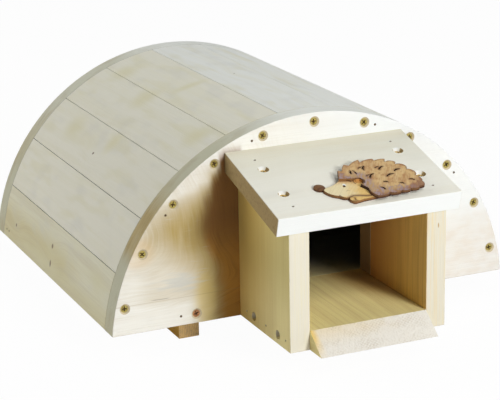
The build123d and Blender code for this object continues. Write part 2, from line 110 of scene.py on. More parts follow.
class HouseWoodSettings(bpy.types.PropertyGroup):
    """Colours of the house's timber."""

    panel: tone("Panels", "Pale wood of the two arch panels", 247, 245, 238)
    panel_white: tone("Panel, right", "Cooler white of the front panel's right half", 243, 246, 248)
    panel_cream: tone("Panel, lower right", "Pinkish wood low on the front panel's right", 232, 223, 211)
    panel_gold: tone("Panel gold", "Golden wood in the arch panels", 182, 159, 102)
    # Painted shadow: the two browns below paint the porch's shadow on the front panel, darker under the lid
    panel_shadow_brown: tone("Panel heart", "Brown heartwood beside the porch", 188, 139, 66)
    panel_shadow_dark: tone("Panel heart, top", "Darker heartwood under the lid", 138, 99, 55)
    panel_edge: tone("Panel edge", "Sawn edge of the arch panels", 207, 206, 182)
    panel_edge_brown: tone("Panel edge, brown", "Brown stretch of the sawn edge", 195, 176, 127)
    doorway: tone("Doorway", "Greyer wood of the doorway's sides", 154, 125, 98)
    # Painted sheen: whiter edge at the crown and to its right, for the bright surroundings' reflection there
    panel_edge_sheen: tone("Panel edge, crown", "Whiter edge at the crown", 244, 246, 239)
    roof: tone("Roof", "Grey-white boards of the roof", 235, 233, 217)
    roof_yellow: tone("Roof smears", "Yellow-green smears on the roof", 222, 217, 180)
    roof_tan: tone("Lowest boards, tan", "Tan wood at the lowest boards' foot and back", 213, 203, 156)
    # Painted sheen: cooler grey-white for the bright surroundings' reflection on the boards right of the
    # crown
    roof_sheen: tone("Roof, right", "Cooler grey-white from the crown to the right", 239, 241, 235)
    roof_foot: tone("Lowest boards", "Yellower wood of the roof's lowest boards", 229, 226, 200)
    wall: tone("Porch walls", "Yellow wood of the porch walls", 240, 227, 167)
    wall_rear: tone("Porch wall, back", "Golden wood at the left wall's back", 242, 208, 124)
    # Painted shade: the right wall's inner side is browner, and redder at its back, for the shade inside the
    # porch
    wall_inner_shade: tone("Right porch wall", "Browner wood of the right wall", 240, 198, 118)
    wall_inner_deep_shade: tone("Right wall, back", "Redder wood at the right wall's back", 206, 146, 92)
    wall_dark: tone("Porch wall grain", "Darker grain of the porch walls", 188, 148, 84)
    # Painted shade: darkens the left wall's upper half
    wall_upper_shade: tone("Left wall's top", "What dims the left wall's upper half", 226, 224, 210)
    wall_edge: tone("Porch wall edges", "Planed front edges of the porch walls", 231, 225, 208)
    lid: tone("Lid", "Grey-white board of the lid", 247, 245, 233)
    lid_shade: tone("Lid, upper half", "Greyer wood towards the lid's upper edge", 231, 228, 209)
    lid_tan: tone("Lid streak", "Tan wood along the lid's upper edge", 232, 224, 199)
    floor: tone("Floor", "Boards of both floors", 252, 238, 172)
    # Painted shade: this dark grey-blue stands for the shade inside the chamber; the roof's joints take it
    # too
    chamber: tone("Chamber", "Duller wood inside the chamber", 84, 88, 96)
    ramp: tone("Ramp", "Sawn face of the ramp", 240, 235, 225)
    runner: tone("Runners", "Brown wood of the runners", 242, 192, 87)
    end: tone("End grain", "Sawn ends of the pale boards", 168, 145, 100)
    countersink: tone("Countersinks", "Bruised wood round the screws", 212, 198, 168)
    knot: tone("Knots", "Small knots", 96, 66, 38)
    panel_orange: tone("Orange tinge", "Orange tinge at the front panel's left rim", 228, 184, 110)
    panel_green: tone("Green tinge", "Yellow-green tinge beside the porch", 228, 203, 121)
    grey: tone("Grey streaks", "Blue-grey streaks in pale wood", 210, 210, 204)


class HouseTrimSettings(bpy.types.PropertyGroup):
    """Colours of the figure, the screws and the brads."""

    figure_light: tone("Light layer", "Thin board of the figure's head", 240, 225, 182)
    figure_gold: tone("Light layer's gold", "Golden wood of the cheek and the arm", 232, 190, 108)
    figure_ear: tone("Ear", "Orange wood of the ear and the forehead", 214, 158, 88)
    figure_dark: tone("Dark layer", "Stained board of the figure's coat", 214, 180, 127)
    figure_rust: tone("Dark layer's streaks", "Rust-brown streaks in the coat", 156, 93, 51)
    # Painted sheen: lavender highlights beside the face and along the belly
    figure_sheen: tone("Coat's bloom", "Lavender bloom beside the face and along the belly", 174, 156, 160)
    figure_umber: tone("Coat's dark rim", "Purplish brown towards the coat's rim", 130, 92, 76)
    burn: tone("Burnt edge", "Edges that the cutter burnt", 74, 46, 32)
    scorch: tone("Scorched edge", "Edges that the cutter only browned", 150, 108, 66)
    nose: tone("Nose", "Stained wood of the nose", 116, 80, 46)
    eye: tone("Eye", "Black of the eye", 20, 18, 16)
    glint: tone("Eye's glint", "White round the eye", 246, 246, 244)
    # Painted shade: the porch walls' screws lie deep in their holes, and this dark brown stands for the shade
    # there
    brown: tone("Sunk screws", "Screws deep in the porch's walls", 120, 92, 50)
    copper: tone("Foot screws", "Redder screws low on the panels", 178, 128, 88)
    gold: tone("Lid screws", "Bright screws in the lid", 214, 182, 104)
    brass: tone("Screws", "Yellow-plated steel", 170, 154, 88)
    brad: tone("Brads", "Dull steel", 98, 82, 60)


class HouseStudioSettings(bpy.types.PropertyGroup):
    """The camera, the lamps and the floor."""

    camera_distance: length("Camera distance", "From the camera to what it aims at", 1.7486)
    camera_lens: FloatProperty(
        name="Lens", description="Focal length of the camera", subtype="DISTANCE_CAMERA", default=125.0
    )
    camera_heading: angle("Camera heading", "Turn of the camera to the right of the porch", -24.005)
    camera_height: angle("Camera height", "Angle of the camera above the ground", 16.929)
    camera_roll: angle("Camera roll", "Turn of the camera about its own line of sight", 1.061)
    key_level: brightness("Key light", "the main lamp", 0.475)
    key_size: length("Key size", "Width of the main lamp", 0.44)
    upper_level: brightness("Upper light", "the lamp above the main one", 0.3)
    upper_size: length("Upper size", "Width of the lamp above the main one", 0.9)
    fill_level: brightness("Fill light", "the large lamp", 0.43)
    fill_size: length("Fill size", "Width of the large lamp and of the one overhead", 1.6)
    top_level: brightness("Top light", "the lamp overhead", 0.2)
    sky_level: amount("Surroundings", "Brightness of the light from all round", 0.03)
    floor_size: length("Floor size", "Width of the floor", 12.0)


# Shader maths

# How far on the noise is read for the next board, and for the next draw on the same board
BOARD_STEP = 17.3
DRAW_STEP = 5.1


class Value:
    """A socket that sums, products, quotients, powers and absolute values can be written with."""

    def __init__(self, nodes, socket):
        self.nodes = nodes
        self.socket = socket

    def __add__(self, other):
        return self.nodes.maths("ADD", self, other)

    __radd__ = __add__

    def __sub__(self, other):
        return self.nodes.maths("SUBTRACT", self, other)

    def __rsub__(self, other):
        return self.nodes.maths("SUBTRACT", other, self)

    def __mul__(self, other):
        return self.nodes.maths("MULTIPLY", self, other)

    __rmul__ = __mul__

    def __truediv__(self, other):
        return self.nodes.maths("DIVIDE", self, other)

    def __rtruediv__(self, other):
        return self.nodes.maths("DIVIDE", other, self)

    def __pow__(self, other):
        return self.nodes.maths("POWER", self, other)

    def __abs__(self):
        return self.nodes.maths("ABSOLUTE", self)


class Nodes:
    """A node tree in the making, of a material or of the surroundings."""

    def __init__(self, tree):
        self.tree = tree
        tree.nodes.clear()

    def node(self, kind, settings, sockets, output=0):
        """A node: its settings come first, then what its sockets hold or are linked to."""
        made = self.tree.nodes.new(kind)
        for name, value in settings.items():
            setattr(made, name, value)
        for name, value in sockets.items():
            if isinstance(value, Value):
                self.tree.links.new(value.socket, made.inputs[name])
            else:
                made.inputs[name].default_value = value
        return Value(self, made.outputs[output]) if made.outputs else made

    def maths(self, operation, *values):
        """A Math node."""
        return self.node("ShaderNodeMath", {"operation": operation}, dict(enumerate(values)))

    def greatest(self, largest, *others):
        """The largest of several numbers."""
        for other in others:
            largest = self.maths("MAXIMUM", largest, other)
        return largest

    def seen_straight(self):
        """1 for what the camera sees straight, in a mirror or through glass."""
        paths = self.node("ShaderNodeLightPath", {}, {}).socket.node.outputs
        rays = ("Is Camera Ray", "Is Glossy Ray", "Is Transmission Ray")
        return self.greatest(*(Value(self, paths[ray]) for ray in rays))


class Finish(Nodes):
    """A material in the making: its nodes, its colour so far, and the shader that it feeds."""

    def __init__(self, name):
        self.material = bpy.data.materials.new(name)
        self.material.use_nodes = True
        super().__init__(self.material.node_tree)
        self.place = self.node("ShaderNodeTexCoord", {}, {}, "Object")
        self.facing = self.node("ShaderNodeTexCoord", {}, {}, "Normal")

    def limited(self, value):
        """A number kept from 0 to 1."""
        return self.maths("MAXIMUM", self.maths("MINIMUM", value, 1.0), 0.0)

    def distance(self, one_way, other_way):
        """How far two crosswise distances lead together."""
        return (one_way * one_way + other_way * other_way) ** 0.5

    def vector(self, x, y, z):
        """A vector from three numbers."""
        return self.node("ShaderNodeCombineXYZ", {}, {"X": x, "Y": y, "Z": z})

    def vector_maths(self, operation, *values, output="Value"):
        """A Vector Math node."""
        sockets = dict(enumerate(values))
        return self.node("ShaderNodeVectorMath", {"operation": operation}, sockets, output)

    def travel(self, direction):
        """Millimetres from the part's origin along a direction."""
        return self.vector_maths("DOT_PRODUCT", self.place, direction / MM)

    # A place's distances from the part's origin along the three axes, in millimetres
    x = property(lambda self: self.travel(X))
    y = property(lambda self: self.travel(Y))
    z = property(lambda self: self.travel(Z))

    def faces(self, direction):
        """How squarely the surface faces a direction, from -1 to 1."""
        return self.vector_maths("DOT_PRODUCT", self.facing, direction)

    def rise(self, value, low, high, bottom=0.0, top=1.0):
        """A smooth step: the bottom value up to low, the top value from high on."""
        return self.node(
            "ShaderNodeMapRange",
            {"interpolation_type": "SMOOTHSTEP"},
            {"Value": value, "From Min": low, "From Max": high, "To Min": bottom, "To Max": top},
        )

    def fall(self, value, low, high):
        """A smooth step down, from 1 to 0."""
        return self.rise(value, low, high, 1.0, 0.0)

    def spot(self, middle, size):
        """1 in the middle of an oval in millimetres, fading to 0 at its rim."""
        away = self.vector_maths("SUBTRACT", self.place, Vector(middle) * MM, output="Vector")
        share = self.vector_maths("DIVIDE", away, Vector(size) * MM, output="Vector")
        return self.fall(self.vector_maths("LENGTH", share), 0.0, 1.0)

    def blend(self, base, other, mask, mode="MIX"):
        """One colour over another, as strongly as the mask says."""
        settings = {"data_type": "RGBA", "blend_type": mode}
        colours = [part if isinstance(part, Value) else (*part, 1.0) for part in (base, other)]
        return self.node("ShaderNodeMix", settings, {0: mask, 6: colours[0], 7: colours[1]}, 2)

    def paint(self, other, mask, mode="MIX"):
        """Another colour over the finish's own."""
        self.colour = self.blend(self.colour, other, mask, mode)

    def noise(self, place, detail=2.0, roughness=0.5):
        """Soft noise about zero."""
        return self.node(
            "ShaderNodeTexNoise",
            {"normalize": False},
            {"Vector": place, "Scale": 1.0, "Detail": detail, "Roughness": roughness},
        )

    def bevelled(self, radius):
        """How close a sharp edge is: 0 from the radius on, and about 0.3 at the edge itself."""
        rounded = self.node("ShaderNodeBevel", {"samples": 4}, {"Radius": radius})
        plain = self.node("ShaderNodeNewGeometry", {}, {}, "Normal")
        return 1 - self.vector_maths("DOT_PRODUCT", rounded, plain)

    def complete(self, roughness, height, relief, constants):
        """Feeds the shader. The relief is the depth in metres of a height of 1."""
        bump = self.node("ShaderNodeBump", {}, {"Strength": 1.0, "Distance": relief, "Height": height})
        sockets = {"Base Color": self.colour, "Roughness": roughness, "Normal": bump, **constants}
        shader = self.node("ShaderNodeBsdfPrincipled", {}, sockets)
        self.node("ShaderNodeOutputMaterial", {}, {"Surface": shader})
        return self.material


class Wood(Finish):
    """Sawn wood: a finish that knows how its board's grain runs.

    The grain runs along one direction and its lines are counted across another. A swirl, given as its
    place along and across, its reach both ways and its push, bends the lines. Each board's seed sets its
    noise apart from the others'.
    """

    def __init__(self, name, along, across, seed, swirls=(), waviness=3.0):
        super().__init__(name)
        self.seed = seed
        self.draws = 0
        self.along = self.travel(along)
        self.into = self.travel(along.cross(across))
        straight = self.travel(across)
        self.grain = straight + self.clouds(190, 70, 60, 1.0, straight) * waviness
        for at_along, at_across, reach_along, reach_across, push in swirls:
            one_way = (self.along - at_along) / reach_along
            other_way = (straight - at_across) / reach_across
            near = self.maths("EXPONENT", (one_way * one_way + other_way * other_way) * -1)
            self.grain = self.grain + near * push
        self.end = self.rise(abs(self.faces(along)), 0.6, 0.8)

    def clouds(self, length, width, depth, detail=2.0, across=None):
        """Soft noise about zero, in clouds of this length, width and depth in millimetres."""
        self.draws += 1
        shift = self.seed * BOARD_STEP + self.draws * DRAW_STEP
        lines = self.grain if across is None else across
        place = self.vector(self.along / length + shift, lines / width, self.into / depth)
        return self.noise(place, detail)

    def patches(self, length, width, low, high, detail=2.0):
        """A mask of soft patches of this length and width in millimetres."""
        return self.rise(self.clouds(length, width, width, detail), low, high)

    def grained(self, base, dark, bands, fibres, band_width=14.0, fibre_width=1.4):
        """A base colour with broad bands and fine fibres of a darker one, as strong as their shares say.

        A band is 20 times as long as it is wide, and a fibre 45 times.
        """
        band = self.patches(band_width * 20, band_width, -0.1, 0.5)
        fibre = self.patches(fibre_width * 45, fibre_width, -0.1, 0.6, 3.0)
        self.height = fibre * -0.6 + band * -0.4
        self.colour = self.blend(base, dark, band * bands)
        self.paint(dark, fibre * fibres)

    def ringed(self, dark, share, ring_width, heart_across, heart_into):
        """Growth rings about the tree's pith, which lies beside the board."""
        radius = self.distance(self.grain - heart_across, self.into - heart_into)
        wander = self.clouds(240, 40, 40, 1.0) * 2
        wave = self.maths("SINE", radius * (2 * pi / ring_width) + wander)
        line = self.rise(wave, 0.1, 1.0)
        self.height = self.height + line * -0.5
        self.paint(dark, line * share)

    def knotted(self, knot, places):
        """Small knots, each at a place in millimetres with its reach along X, Y and Z."""
        for middle, size in places:
            self.paint(knot, self.rise(self.spot(middle, size), 0.05, 0.75) * 0.85)

    def matt(self, relief=0.00012, roughness=0.78, gloss=0.25):
        """The finished sawn wood."""
        rough = self.height * 0.08 + roughness
        return self.complete(rough, self.height, relief, {"Specular IOR Level": gloss})


def dress(node, material):
    """Gives a CAD node its material."""
    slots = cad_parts[node].data.materials
    slots.clear()
    slots.append(material)


# Arch panels

# Places on the front panel, in millimetres across from its middle and up from its foot
SWIRL_ACROSS, SWIRL_UP = -181, 94
CRACK_ACROSS, CRACK_UP = -161, 29.5
GLUE_LINE_UP = 28
# Soft ovals there: the middle across and up, and the reach across and up
FRONT_OVALS = {
    "patch": (-140, 93, 46, 34),
    "upper_patch": (-163, 93, 28, 18),
    "swirl": (-174, 94, 26, 30),
    "orange": (-182, 77, 26, 24),
    "green": (-114, 22, 20, 58),
    "grey": (-142, 44, 40, 18),
    "pink": (176, 12, 120, 84),
}
# Further than the panel is thick, so that an oval goes right through it
OVAL_DEPTH = 60
# How far from the porch the front panel is golden all over
FULL_GOLD = 18
# How a swirl bends the back panel's grain, as Wood takes it
BACK_SWIRL = (30, 96, 130, 50, 24)


def panel_base(wood, tones):
    """What both arch panels share: pale wood with faint yellow bands and grey patches."""
    wood.grained(tones.panel, tones.panel_gold, 0.07, 0.05)
    wood.paint(tones.grey, wood.patches(70, 30, 0.2, 0.7) * 0.15)


def panel_edge(wood, tones, browned, whiter):
    """The arch's sawn rim, the brown sides of the doorway, and the countersinks.

    The rim is whiter at its crown, and brown on the left at its foot and shoulder. The shares say how
    brown it is there, and how much whiter it is on both sides above the shoulder.
    """
    flat = abs(wood.faces(Y))
    aside = wood.x
    height = wood.z - ARCH_AXIS_Z
    over = height / ARCH_RADIUS
    reach = wood.distance(aside, height)
    turn = wood.maths("ARCTAN2", height, aside) * ARCH_RADIUS
    streak = wood.noise(wood.vector(turn / 30, reach / 30, wood.y / 11), 3.0)
    line = wood.noise(wood.vector(turn / 24, reach / 9, wood.y / 1.2), 3.0)

    # painted sheen: the rim is whiter at its crown and to the right
    crown = wood.rise(aside, ARCH_RADIUS * -0.5, 0) * wood.rise(height, 0, 40)
    white = wood.greatest(crown, wood.rise(over, 0.5, 0.75) * whiter)
    shoulder = wood.rise(over, 0.4, 0.5) * wood.fall(over, 0.6, 0.8)
    foot = wood.fall(over, 0.12, 0.24) * (0.2 + whiter * 3)
    brown = wood.greatest(shoulder, foot) * wood.fall(aside, 0, 20)
    sawn = wood.blend(tones.panel_edge, tones.panel_edge_sheen, white)
    sawn = wood.blend(sawn, tones.panel_edge_brown, brown * (0.9 + 0.3 * streak) * browned)
    sawn = wood.blend(sawn, tones.end, wood.rise(streak, 0.0, 0.6) * (0.2 - 0.15 * crown))
    sawn = wood.blend(sawn, tones.knot, wood.rise(line, 0.0, 0.8) * 0.16 * (0.3 + 0.7 * brown))

    rim = wood.rise(reach, ARCH_RADIUS - 2, ARCH_RADIUS - 1)
    sawn = wood.blend(tones.doorway, sawn, rim)
    wood.paint(sawn, wood.fall(flat, 0.2, 0.6))
    cone = wood.rise(flat, 0.3, 0.5) * wood.fall(flat, 0.9, 0.97) * (1 - rim)
    wood.paint(tones.countersink, cone)


def front_panel_wood(tones):
    """The front panel: white, turning golden towards the porch, with a painted shadow in brown beside it, a
    swirl and a glued foot.
    """
    wood = Wood("front_panel_wood", X, Z, 1)
    panel_base(wood, tones)
    aside = wood.x
    height = wood.z - BASE_Z
    beside = aside * -1 - PORCH_SIDE_X
    ovals = {
        name: wood.spot((across, FRONT_Y, BASE_Z + up), (wide, OVAL_DEPTH, high))
        for name, (across, up, wide, high) in FRONT_OVALS.items()
    }

    # The lines circle the swirl, and are drawn out sideways towards the foot
    wander = wood.noise(wood.vector(aside / 40, height / 30, 0.0), 1.0)
    over = wood.rise(height, 30, 90)
    from_swirl = (aside - SWIRL_ACROSS) * (0.55 + 0.45 * over)
    above_swirl = (height - SWIRL_UP) * (1 - 0.3 * over)
    lines = wood.distance(from_swirl, above_swirl) + wander * 3
    fine = wood.noise(wood.vector(lines / 1.3, aside / 50, height / 50), 3.0)
    broad = wood.noise(wood.vector(lines / 8, aside / 45, height / 45), 2.0)

    # The golden wood ends 60 mm from the porch low down, 128 mm halfway up and 38 mm near the top
    widest = 60 + 68 * wood.rise(height, 40, 84) - 90 * wood.rise(height, 106, 140)
    far = (beside + broad * 6 - FULL_GOLD) / (widest - FULL_GOLD)
    near = wood.fall(far + fine * 0.05, 0.0, 1.0)
    near = near * wood.rise(height, 30, 66, 0.9, 1.0) * wood.fall(height, 138, 158)
    pale = (0.12 + 0.22 * wood.rise(aside, -190, -165)) * wood.rise(height, 16, 32)
    pale = pale - 0.12 * wood.rise(height, 108, 130) - 0.22 * wood.rise(height, 145, 165)
    gold = pale + (1 - pale) * near + ovals["patch"] * (0.19 + 0.11 * broad) + ovals["upper_patch"] * 0.13
    gold = gold + fine * 0.09 + broad * 0.08 - 0.02
    swirl = wood.rise(ovals["swirl"], 0.05, 0.6)
    ring = wood.rise(wood.maths("SINE", lines * 1.3), 0.5, 1.0)
    orange = wood.rise(ovals["orange"], 0.0, 0.7)
    gold = gold + swirl * (0.01 - 0.07 * ring) + orange * 0.1
    wood.paint(tones.panel_gold, wood.limited(gold) * wood.fall(aside, -60, 0))
    wood.paint(tones.panel_orange, orange * 0.24)

    # Tinges low on the left
    green = wood.rise(ovals["green"] + broad * 0.12, 0.0, 0.9)
    wood.paint(tones.panel_green, green * 0.58)
    streaks = wood.noise(wood.vector(aside / 24, 4.0, height / 3), 3.0)
    grey = wood.rise(ovals["grey"] * 0.9 + streaks * 0.6, 0.2, 1.0)
    wood.paint(tones.grey, grey * 0.75)

    # The painted shadow beside the porch, in a heartwood brown, ends 21 mm from the porch at the foot, 38 mm
    # halfway up and 16 mm where the lid ends
    limit = 21 + 17 * wood.rise(height, 46, 84) - 22 * wood.rise(height, 92, 168)
    outside = wood.rise(beside, -6, -2) * wood.fall(height, 154, 172)
    sharper = wood.rise(height, 110, 160, 1.0, 2.0)
    painted_shadow = wood.fall((beside + broad * 4 - limit) * sharper, -10, 8) * outside
    # painted shadow: darker higher up under the lid, with fine dark grain in it
    brown = wood.blend(tones.panel_shadow_brown, tones.panel_shadow_dark, wood.rise(height, 46, 104))
    wood.paint(brown, painted_shadow)
    wood.paint(tones.knot, wood.rise(fine, 0.0, 0.7) * painted_shadow * 0.2)

    joint = wood.fall(abs(height - GLUE_LINE_UP), 0.2, 0.6)
    crack = wood.fall(abs(height - CRACK_UP - wander), 0.2, 0.6) * wood.fall(abs(aside - CRACK_ACROSS), 5, 11)
    wood.paint(tones.end, joint * 0.25)
    wood.paint(tones.knot, crack * 0.4)
    wood.paint(tones.panel_white, wood.rise(aside, -60, 80) * 0.8)
    pink = wood.rise(ovals["pink"], 0.0, 0.6) * (0.45 + 0.35 * wood.patches(20, 10, -0.6, 0.6, 3.0))
    wood.paint(tones.panel_cream, pink)
    panel_edge(wood, tones, 1.0, 0.0)
    return wood


def back_panel_wood(tones):
    """The back panel: the same boards, with a cathedral of rings in its middle, and painted shade on its
    inner face.
    """
    wood = Wood("back_panel_wood", X, Z, 2, [BACK_SWIRL], 4.0)
    panel_base(wood, tones)
    wood.ringed(tones.panel_gold, 0.15, 4.6, -40, -60)
    # painted shade on the inner face, inside the chamber
    wood.paint(tones.chamber, wood.rise(wood.faces(-Y), 0.5, 0.9) * 0.9)
    panel_edge(wood, tones, 0.3, 0.25)
    return wood


class FinishPanels(bpy.types.Operator):
    """Finish the front and back panels"""

    bl_idname = "hedgehog_house.panels"
    bl_label = "Panels"

    def execute(self, context):
        tones = context.scene.house_wood
        dress("front_panel", front_panel_wood(tones).matt())
        dress("back_panel", back_panel_wood(tones).matt())
        return {"FINISHED"}


# Roof


def on_roof(heading, y):
    """A place on the roof, by its heading over the arch in degrees from the left."""
    turn = radians(heading)
    return Vector((-ARCH_RADIUS * cos(turn), y, ARCH_AXIS_Z + ARCH_RADIUS * sin(turn)))


# Knots and smears on the roof: the middle, and the reach along X, Y and Z
ROOF_KNOTS = [
    (on_roof(90.1, 69), (1.6, 1.6, 3)),
    (on_roof(42.9, 76.5), (2.4, 3, 2.4)),
    (on_roof(9.7, 70.3), (4, 3.4, 6)),
    (on_roof(14.6, 71.4), (4, 4, 4)),
    (on_roof(11.6, 190), (4, 3, 3)),
]
ROOF_SMEARS = [
    (on_roof(45.7, 156), (26, 30, 20)),
    (on_roof(48.3, 56), (22, 16, 18)),
    (on_roof(69, 189), (24, 30, 18)),
    (on_roof(76, 65), (34, 12, 14)),
    (on_roof(64.5, 92), (30, 26, 20)),
    (on_roof(62.5, -63), (26, 24, 22)),
    (on_roof(8, 90), (18, 120, 16)),
    (on_roof(16, -60), (16, 40, 16)),
]
# How a knot bends the grain: its reach along and across, and its push
KNOT_SWIRL = (26, 12, 9)


def slat_wood(tones, place):
    """One roof board: pale, with faint yellow-green smears, fine saw marks and a knot or two."""
    heading = radians(FIRST_HEADING + (place + 0.5) * SLAT_TURN)
    across = Vector((sin(heading), 0, cos(heading)))
    outward = Vector((-cos(heading), 0, sin(heading)))

    def within(middle, turn):
        """Whether a place on the roof lies within some degrees of this board's middle."""
        return outward.dot(middle - Z * ARCH_AXIS_Z) > ARCH_RADIUS * cos(radians(turn))

    swirls = [
        (middle.y, middle.dot(across), *KNOT_SWIRL)
        for middle, size in ROOF_KNOTS
        if within(middle, SLAT_TURN / 2)
    ]
    wood = Wood(f"roof_wood_{place + 1:02d}", Y, across, 10 + place, swirls, 5.0)
    lowest = place in (0, len(SLATS) - 1)
    base, dark = tones.roof, tones.roof_yellow
    if lowest:
        up = wood.z - BASE_Z
        back = wood.rise(wood.y, FRONT_Y + 70, FRONT_Y + 170)
        tan = wood.greatest(wood.fall(up, 24, 48) * back, wood.fall(up, 4, 28) * 0.8)
        base, dark = wood.blend(tones.roof_foot, tones.roof_tan, tan * 0.9), tones.end
    elif place >= len(SLATS) // 2:
        # painted sheen: cooler grey-white from the crown to the right
        base = tones.roof_sheen
    wood.grained(base, dark, 0.16, 0.1, 11.0)
    wood.paint(tones.grey, wood.patches(46, 26, 0.0, 0.8) * 0.3)
    wood.paint(tones.roof_yellow, wood.patches(70, 18, 0.0, 0.7) * 0.35)
    wood.ringed(tones.panel_edge, 0.06, 6.5, 90 * (-1) ** place, -40)
    for middle, size in ROOF_SMEARS:
        if within(middle, SLAT_TURN):
            wood.paint(tones.roof_yellow, wood.spot(middle, size) * 0.75)
    wood.knotted(tones.knot, ROOF_KNOTS)
    outer = wood.faces(outward)
    # painted shade on the boards' inner faces, and dark joints between the boards
    inside = wood.fall(outer, -0.8, -0.4)
    joint = wood.fall(abs(outer), 0.3, 0.6) * (0.9 if place < 2 else 0.2)
    wood.paint(tones.chamber, wood.greatest(inside * 0.9, joint))
    wood.paint(tones.end, wood.end * 0.8)
    return wood


class FinishRoof(bpy.types.Operator):
    """Finish the roof's boards"""

    bl_idname = "hedgehog_house.roof"
    bl_label = "Roof boards"

    def execute(self, context):
        for place, node in enumerate(SLATS):
            wood = slat_wood(context.scene.house_wood, place)
            dress(node, wood.matt(roughness=0.6, gloss=0.5))
        return {"FINISHED"}


# Floor and runners


def floor_wood(tones, name, along, across, seed):
    """One floor board: pale yellow, with faint grain."""
    wood = Wood(name, along, across, seed)
    wood.grained(tones.floor, tones.wall_dark, 0.13, 0.1)
    wood.ringed(tones.wall_dark, 0.08, 5.0, 60, 40)
    wood.paint(tones.end, wood.end * 0.8)
    return wood


def porch_floor_wood(tones):
    """The porch's floor: browner along the right wall, where that wall's shadow is painted, and its ramp
    rough from the saw.
    """
    wood = floor_wood(tones, "porch_floor_wood", Y, X, 33)
    aside = wood.x
    height = wood.z
    deep = wood.y - PORCH_FRONT_Y
    # Painted shadow of the right wall: a wedge that widens towards the back, and a darker strip along the
    # wall's foot
    painted_wall_shadow = wood.rise(aside + deep * 0.3, 32, 72) * wood.rise(deep, 16, 80)
    wood.paint(tones.wall_dark, painted_wall_shadow * 0.7)
    painted_wall_foot_shadow = wood.fall(PORCH_INNER_X - aside - deep * 0.25, -12, 3) * wood.fall(deep, 112, 150)
    wood.paint(tones.panel_shadow_dark, painted_wall_foot_shadow * 0.6)

    # The saw left slanting lines both ways, and the ramp's left edge is golden
    ramp = wood.rise(wood.faces(-Y), 0.2, 0.5)
    patch = wood.noise(wood.vector(aside / 22, height / 8, 3.0), 2.0)
    rising = wood.rise(wood.maths("SINE", (aside + height * 2) * 1.5), 0.0, 1.0)
    falling = wood.rise(wood.maths("SINE", (aside - height * 2) * 1.7), 0.0, 1.0)
    fuzz = wood.noise(wood.vector(aside / 1.8, height / 1.8, 0.0), 2.0)
    cut = (rising + falling) * 0.5 * wood.rise(patch, -0.4, 0.5) + fuzz * 0.5
    golden = wood.limited(patch * 0.4 + 0.5 - aside / 60) * wood.rise(height, 26, 42) * 0.34
    corner = wood.fall(aside, -PORCH_INNER_X, 10 - PORCH_INNER_X) * wood.rise(height, 20, 38, 0.1, 1.0)
    sawn = wood.blend(tones.ramp, tones.wall_rear, wood.greatest(golden, corner))
    sawn = wood.blend(sawn, tones.end, wood.limited(cut) * 0.28)
    wood.height = wood.height + cut * ramp * -0.4
    wood.paint(sawn, ramp)
    return wood


def runner_wood(tones, name, seed):
    """One runner, of browner wood, greyer at its ends."""
    wood = Wood(name, Y, X, seed)
    wood.grained(tones.runner, tones.knot, 0.2, 0.3, 6.0)
    wood.ringed(tones.knot, 0.22, 2.4, 40, 18)
    wood.paint(tones.grey, wood.end * 0.26)
    wood.paint(tones.knot, wood.end * 0.14)
    return wood


class FinishFloors(bpy.types.Operator):
    """Finish the floor boards and the runners"""

    bl_idname = "hedgehog_house.floors"
    bl_label = "Floors and runners"

    def execute(self, context):
        tones = context.scene.house_wood
        for seed, part in enumerate(("front", "middle", "back"), 30):
            wood = floor_wood(tones, f"chamber_floor_wood_{part}", X, Y, seed)
            # painted shade, deepening further into the chamber
            deep = wood.rise(wood.y + wood.x * 0.8, INNER_FRONT_Y - 34, INNER_FRONT_Y + 84)
            wood.paint(tones.chamber, 0.15 + 0.8 * deep)
            dress(f"chamber_floor_{part}", wood.matt())
        dress("porch_floor", porch_floor_wood(tones).matt(0.0002))
        for seed, side in enumerate(("left", "right"), 34):
            dress(f"runner_{side}", runner_wood(tones, f"runner_wood_{side}", seed).matt())
        return {"FINISHED"}


# Porch


def from_lid_top(wood, direction):
    """Millimetres from the lid's upper edge along a direction."""
    return wood.travel(direction) - LID_TOP.dot(direction)


# How a swirl bends the lid's grain, as Wood takes it
LID_SWIRL = (-13, 110, 60, 30, 5)
# For each wall: how strong its fibres, rings and front edge's marks are, how grey that edge, and its knots
WALL_LOOKS = {
    "left": (0.08, 0.05, 0.2, 0.0, ()),
    "right": (0.3, 0.2, 0.42, 0.07, (((72, PORCH_FRONT_Y, BASE_Z + 99), (1.1, 5, 4)),)),
}


